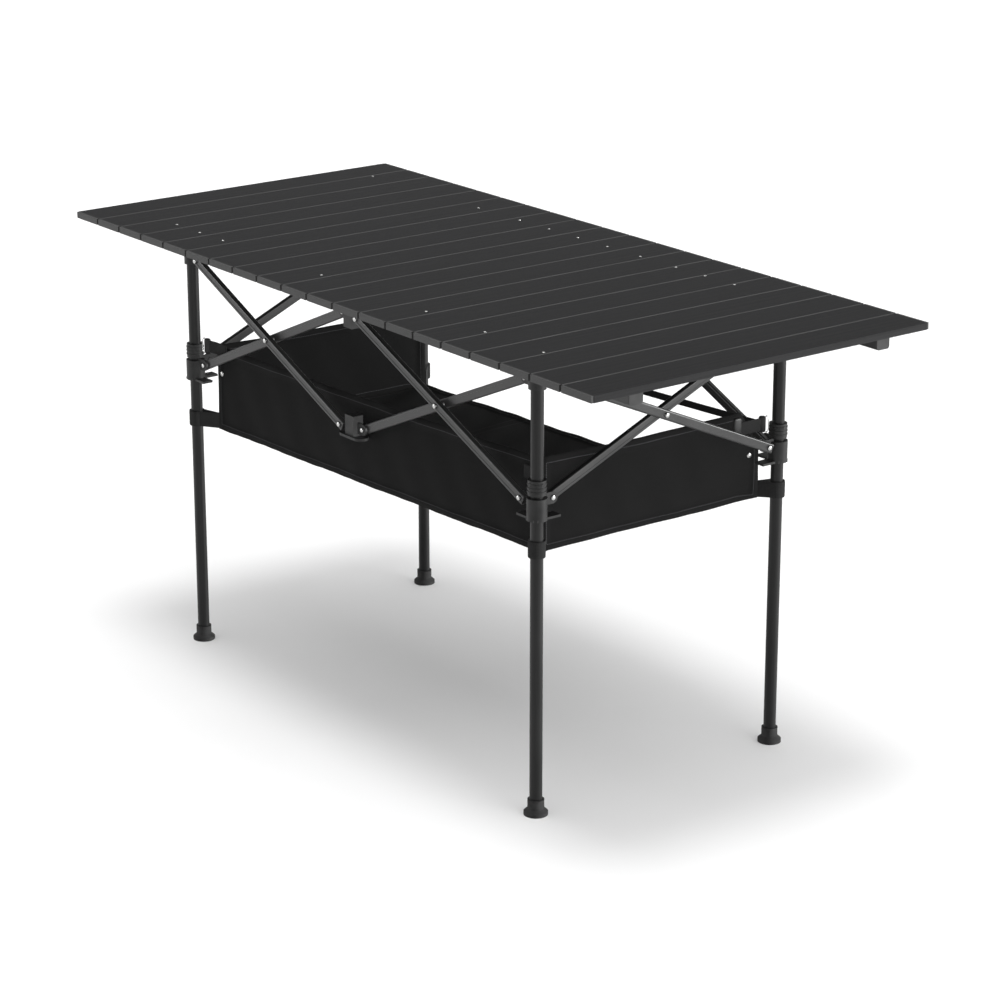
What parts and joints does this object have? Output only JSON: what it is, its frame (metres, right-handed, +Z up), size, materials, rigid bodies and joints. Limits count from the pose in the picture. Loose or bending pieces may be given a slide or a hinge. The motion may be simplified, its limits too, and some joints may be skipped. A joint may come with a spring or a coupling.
{
  "type": "folding camp kitchen table",
  "caption": "Long roll-top camping table of hollow metal slats on a folding scissor frame, with a fabric basket hung under the top.",
  "frame": {"origin": "on the floor, at the centre of the table's footprint", "axes": "+X along the table's length to its right end, +Y across it to the side where the basket is open, +Z up"},
  "size_m": [1.349, 0.62, 0.7],
  "materials": {
    "slat_metal": "satin black anodised, brushed along the slat",
    "rail_metal": "satin black anodised",
    "tube_metal": "semi-gloss dark grey anodised",
    "grey_plastic": "matt dark grey",
    "black_plastic": "satin black",
    "foot_rubber": "matt black",
    "basket_fabric": "matt black woven polyester"
  },
  "bodies": {
    "leg_front_left": {"leg_front_left": "tube_metal", "foot_front_left": "foot_rubber", "top_bracket_front_left": "black_plastic", "lock_collar_front_left": "black_plastic"},
    "leg_front_right": {"leg_front_right": "tube_metal", "foot_front_right": "foot_rubber", "top_bracket_front_right": "black_plastic", "lock_collar_front_right": "black_plastic"},
    "leg_rear_right": {"leg_rear_right": "tube_metal", "foot_rear_right": "foot_rubber", "top_bracket_rear_right": "black_plastic", "lock_collar_rear_right": "black_plastic"},
    "leg_rear_left": {"leg_rear_left": "tube_metal", "foot_rear_left": "foot_rubber", "top_bracket_rear_left": "black_plastic", "lock_collar_rear_left": "black_plastic"},
    "slider_front_left": {"slider_front_left": "black_plastic", "basket": "basket_fabric"},
    "slider_front_right": {"slider_front_right": "black_plastic"},
    "slider_rear_right": {"slider_rear_right": "black_plastic"},
    "slider_rear_left": {"slider_rear_left": "black_plastic"},
    "brace_front_1": {"brace_front_1": "tube_metal"},
    "brace_front_2": {"brace_front_2": "tube_metal"},
    "brace_front_3": {"brace_front_3": "tube_metal"},
    "brace_front_4": {"brace_front_4": "tube_metal"},
    "brace_right_1": {"brace_right_1": "tube_metal"},
    "brace_right_2": {"brace_right_2": "tube_metal"},
    "brace_rear_1": {"brace_rear_1": "tube_metal"},
    "brace_rear_2": {"brace_rear_2": "tube_metal"},
    "brace_rear_3": {"brace_rear_3": "tube_metal"},
    "brace_rear_4": {"brace_rear_4": "tube_metal"},
    "brace_left_1": {"brace_left_1": "tube_metal"},
    "brace_left_2": {"brace_left_2": "tube_metal"},
    "hub_front_low": {"hub_front_low": "black_plastic"},
    "hub_front_top": {"hub_front_top": "black_plastic"},
    "hub_rear_low": {"hub_rear_low": "black_plastic"},
    "hub_rear_top": {"hub_rear_top": "black_plastic"},
    "tabletop_base": {"rail_front": "rail_metal", "rail_rear": "rail_metal", "rail_end_plugs": "grey_plastic", "slat_01": "slat_metal"},
    "slat_02": {"slat_02": "slat_metal"},
    "slat_03": {"slat_03": "slat_metal"},
    "slat_04": {"slat_04": "slat_metal"},
    "slat_05": {"slat_05": "slat_metal"},
    "slat_06": {"slat_06": "slat_metal"},
    "slat_07": {"slat_07": "slat_metal"},
    "slat_08": {"slat_08": "slat_metal"},
    "slat_09": {"slat_09": "slat_metal"},
    "slat_10": {"slat_10": "slat_metal"},
    "slat_11": {"slat_11": "slat_metal"},
    "slat_12": {"slat_12": "slat_metal"},
    "slat_13": {"slat_13": "slat_metal"},
    "slat_14": {"slat_14": "slat_metal"},
    "slat_15": {"slat_15": "slat_metal"},
    "slat_16": {"slat_16": "slat_metal"},
    "slat_17": {"slat_17": "slat_metal"},
    "slat_18": {"slat_18": "slat_metal"},
    "slat_19": {"slat_19": "slat_metal"},
    "slat_20": {"slat_20": "slat_metal"}
  },
  "joints": [
    {"name": "frame_fold", "type": "hinge", "parent": "leg_front_left", "child": "brace_front_1", "pos_m": [-0.425, -0.2275, 0.655], "axis": [0, 1, 0], "range_deg": [0, 56], "deforming": ["basket"]},
    {"name": "front_low_hub_pivot", "type": "hinge", "parent": "brace_front_1", "child": "hub_front_low", "pos_m": [-0.024, -0.2275, 0.48], "axis": [0, 1, 0], "range_deg": [-56, 0]},
    {"name": "front_crossing_1", "type": "hinge", "parent": "brace_front_1", "child": "brace_front_2", "pos_m": [-0.2245, -0.2275, 0.5675], "axis": [0, 1, 0], "range_deg": [-112, 0]},
    {"name": "slider_front_left_pivot", "type": "hinge", "parent": "brace_front_2", "child": "slider_front_left", "pos_m": [-0.425, -0.2275, 0.48], "axis": [0, 1, 0], "range_deg": [0, 56]},
    {"name": "front_top_hub_pivot", "type": "hinge", "parent": "brace_front_2", "child": "hub_front_top", "pos_m": [-0.024, -0.2275, 0.655], "axis": [0, 1, 0], "range_deg": [0, 56]},
    {"name": "front_brace_3_pivot", "type": "hinge", "parent": "hub_front_top", "child": "brace_front_3", "pos_m": [0.024, -0.2275, 0.655], "axis": [0, 1, 0], "range_deg": [0, 56]},
    {"name": "slider_front_right_pivot", "type": "hinge", "parent": "brace_front_3", "child": "slider_front_right", "pos_m": [0.425, -0.2275, 0.48], "axis": [0, 1, 0], "range_deg": [-56, 0]},
    {"name": "front_brace_4_pivot", "type": "hinge", "parent": "hub_front_low", "child": "brace_front_4", "pos_m": [0.024, -0.2275, 0.48], "axis": [0, 1, 0], "range_deg": [-56, 0]},
    {"name": "leg_front_right_pivot", "type": "hinge", "parent": "brace_front_4", "child": "leg_front_right", "pos_m": [0.425, -0.2275, 0.655], "axis": [0, 1, 0], "range_deg": [0, 56]},
    {"name": "right_brace_1_pivot", "type": "hinge", "parent": "leg_front_right", "child": "brace_right_1", "pos_m": [0.452, -0.2005, 0.655], "axis": [-1, 0, 0], "range_deg": [0, 56]},
    {"name": "right_crossing", "type": "hinge", "parent": "brace_right_1", "child": "brace_right_2", "pos_m": [0.452, 0, 0.5675], "axis": [-1, 0, 0], "range_deg": [-112, 0]},
    {"name": "slider_rear_right_pivot", "type": "hinge", "parent": "brace_right_1", "child": "slider_rear_right", "pos_m": [0.452, 0.2005, 0.48], "axis": [-1, 0, 0], "range_deg": [-56, 0]},
    {"name": "leg_rear_right_pivot", "type": "hinge", "parent": "brace_right_2", "child": "leg_rear_right", "pos_m": [0.452, 0.2005, 0.655], "axis": [-1, 0, 0], "range_deg": [0, 56]},
    {"name": "left_brace_2_pivot", "type": "hinge", "parent": "leg_front_left", "child": "brace_left_2", "pos_m": [-0.452, -0.2005, 0.655], "axis": [1, 0, 0], "range_deg": [-56, 0]},
    {"name": "left_crossing", "type": "hinge", "parent": "brace_left_2", "child": "brace_left_1", "pos_m": [-0.452, 0, 0.5675], "axis": [1, 0, 0], "range_deg": [0, 112]},
    {"name": "slider_rear_left_pivot", "type": "hinge", "parent": "brace_left_2", "child": "slider_rear_left", "pos_m": [-0.452, 0.2005, 0.48], "axis": [1, 0, 0], "range_deg": [0, 56]},
    {"name": "leg_rear_left_pivot", "type": "hinge", "parent": "brace_left_1", "child": "leg_rear_left", "pos_m": [-0.452, 0.2005, 0.655], "axis": [1, 0, 0], "range_deg": [-56, 0]},
    {"name": "rear_brace_1_pivot", "type": "hinge", "parent": "leg_rear_right", "child": "brace_rear_1", "pos_m": [0.425, 0.2275, 0.655], "axis": [0, -1, 0], "range_deg": [0, 56]},
    {"name": "rear_crossing_1", "type": "hinge", "parent": "brace_rear_1", "child": "brace_rear_2", "pos_m": [0.2245, 0.2275, 0.5675], "axis": [0, -1, 0], "range_deg": [-112, 0]},
    {"name": "rear_low_hub_pivot", "type": "hinge", "parent": "brace_rear_1", "child": "hub_rear_low", "pos_m": [0.024, 0.2275, 0.48], "axis": [0, -1, 0], "range_deg": [-56, 0]},
    {"name": "rear_top_hub_pivot", "type": "hinge", "parent": "brace_rear_2", "child": "hub_rear_top", "pos_m": [0.024, 0.2275, 0.655], "axis": [0, -1, 0], "range_deg": [0, 56]},
    {"name": "rear_brace_3_pivot", "type": "hinge", "parent": "hub_rear_top", "child": "brace_rear_3", "pos_m": [-0.024, 0.2275, 0.655], "axis": [0, -1, 0], "range_deg": [0, 56]},
    {"name": "rear_brace_4_pivot", "type": "hinge", "parent": "hub_rear_low", "child": "brace_rear_4", "pos_m": [-0.024, 0.2275, 0.48], "axis": [0, -1, 0], "range_deg": [-56, 0]},
    {"name": "tabletop_lift", "type": "slide", "parent": "leg_front_left", "child": "tabletop_base", "axis": [0, 0, 1], "range_m": [0, 0.3]},
    {"name": "seam_01", "type": "hinge", "parent": "tabletop_base", "child": "slat_02", "pos_m": [-0.6075, 0, 0.7], "axis": [0, -1, 0], "range_deg": [0, 35.9]},
    {"name": "seam_02", "type": "hinge", "parent": "slat_02", "child": "slat_03", "pos_m": [-0.54, 0, 0.7], "axis": [0, -1, 0], "range_deg": [0, 36.7]},
    {"name": "seam_03", "type": "hinge", "parent": "slat_03", "child": "slat_04", "pos_m": [-0.4725, 0, 0.7], "axis": [0, -1, 0], "range_deg": [0, 37.6]},
    {"name": "seam_04", "type": "hinge", "parent": "slat_04", "child": "slat_05", "pos_m": [-0.405, 0, 0.7], "axis": [0, -1, 0], "range_deg": [0, 38.6]},
    {"name": "seam_05", "type": "hinge", "parent": "slat_05", "child": "slat_06", "pos_m": [-0.3375, 0, 0.7], "axis": [0, -1, 0], "range_deg": [0, 39.6]},
    {"name": "seam_06", "type": "hinge", "parent": "slat_06", "child": "slat_07", "pos_m": [-0.27, 0, 0.7], "axis": [0, -1, 0], "range_deg": [0, 40.8]},
    {"name": "seam_07", "type": "hinge", "parent": "slat_07", "child": "slat_08", "pos_m": [-0.2025, 0, 0.7], "axis": [0, -1, 0], "range_deg": [0, 42]},
    {"name": "seam_08", "type": "hinge", "parent": "slat_08", "child": "slat_09", "pos_m": [-0.135, 0, 0.7], "axis": [0, -1, 0], "range_deg": [0, 43.4]},
    {"name": "seam_09", "type": "hinge", "parent": "slat_09", "child": "slat_10", "pos_m": [-0.0675, 0, 0.7], "axis": [0, -1, 0], "range_deg": [0, 44.9]},
    {"name": "seam_10", "type": "hinge", "parent": "slat_10", "child": "slat_11", "pos_m": [0, 0, 0.7], "axis": [0, -1, 0], "range_deg": [0, 46.6]},
    {"name": "seam_11", "type": "hinge", "parent": "slat_11", "child": "slat_12", "pos_m": [0.0675, 0, 0.7], "axis": [0, -1, 0], "range_deg": [0, 48.5]},
    {"name": "seam_12", "type": "hinge", "parent": "slat_12", "child": "slat_13", "pos_m": [0.135, 0, 0.7], "axis": [0, -1, 0], "range_deg": [0, 50.6]},
    {"name": "seam_13", "type": "hinge", "parent": "slat_13", "child": "slat_14", "pos_m": [0.2025, 0, 0.7], "axis": [0, -1, 0], "range_deg": [0, 53.1]},
    {"name": "seam_14", "type": "hinge", "parent": "slat_14", "child": "slat_15", "pos_m": [0.27, 0, 0.7], "axis": [0, -1, 0], "range_deg": [0, 55.9]},
    {"name": "seam_15", "type": "hinge", "parent": "slat_15", "child": "slat_16", "pos_m": [0.3375, 0, 0.7], "axis": [0, -1, 0], "range_deg": [0, 59.3]},
    {"name": "seam_16", "type": "hinge", "parent": "slat_16", "child": "slat_17", "pos_m": [0.405, 0, 0.7], "axis": [0, -1, 0], "range_deg": [0, 63.4]},
    {"name": "seam_17", "type": "hinge", "parent": "slat_17", "child": "slat_18", "pos_m": [0.4725, 0, 0.7], "axis": [0, -1, 0], "range_deg": [0, 68.4]},
    {"name": "seam_18", "type": "hinge", "parent": "slat_18", "child": "slat_19", "pos_m": [0.54, 0, 0.7], "axis": [0, -1, 0], "range_deg": [0, 75]},
    {"name": "seam_19", "type": "hinge", "parent": "slat_19", "child": "slat_20", "pos_m": [0.6075, 0, 0.7], "axis": [0, -1, 0], "range_deg": [0, 83.9]}
  ],
  "couplings": [
    {"joint": "front_low_hub_pivot", "follows": "frame_fold", "ratio": -1},
    {"joint": "front_crossing_1", "follows": "frame_fold", "ratio": -2},
    {"joint": "slider_front_left_pivot", "follows": "frame_fold", "ratio": 1},
    {"joint": "front_top_hub_pivot", "follows": "frame_fold", "ratio": 1},
    {"joint": "front_brace_3_pivot", "follows": "frame_fold", "ratio": 1},
    {"joint": "slider_front_right_pivot", "follows": "frame_fold", "ratio": -1},
    {"joint": "front_brace_4_pivot", "follows": "frame_fold", "ratio": -1},
    {"joint": "leg_front_right_pivot", "follows": "frame_fold", "ratio": 1},
    {"joint": "right_brace_1_pivot", "follows": "frame_fold", "ratio": 1},
    {"joint": "right_crossing", "follows": "frame_fold", "ratio": -2},
    {"joint": "slider_rear_right_pivot", "follows": "frame_fold", "ratio": -1},
    {"joint": "leg_rear_right_pivot", "follows": "frame_fold", "ratio": 1},
    {"joint": "left_brace_2_pivot", "follows": "frame_fold", "ratio": -1},
    {"joint": "left_crossing", "follows": "frame_fold", "ratio": 2},
    {"joint": "slider_rear_left_pivot", "follows": "frame_fold", "ratio": 1},
    {"joint": "leg_rear_left_pivot", "follows": "frame_fold", "ratio": -1},
    {"joint": "rear_brace_1_pivot", "follows": "frame_fold", "ratio": 1},
    {"joint": "rear_crossing_1", "follows": "frame_fold", "ratio": -2},
    {"joint": "rear_low_hub_pivot", "follows": "frame_fold", "ratio": -1},
    {"joint": "rear_top_hub_pivot", "follows": "frame_fold", "ratio": 1},
    {"joint": "rear_brace_3_pivot", "follows": "frame_fold", "ratio": 1},
    {"joint": "rear_brace_4_pivot", "follows": "frame_fold", "ratio": -1}
  ]
}
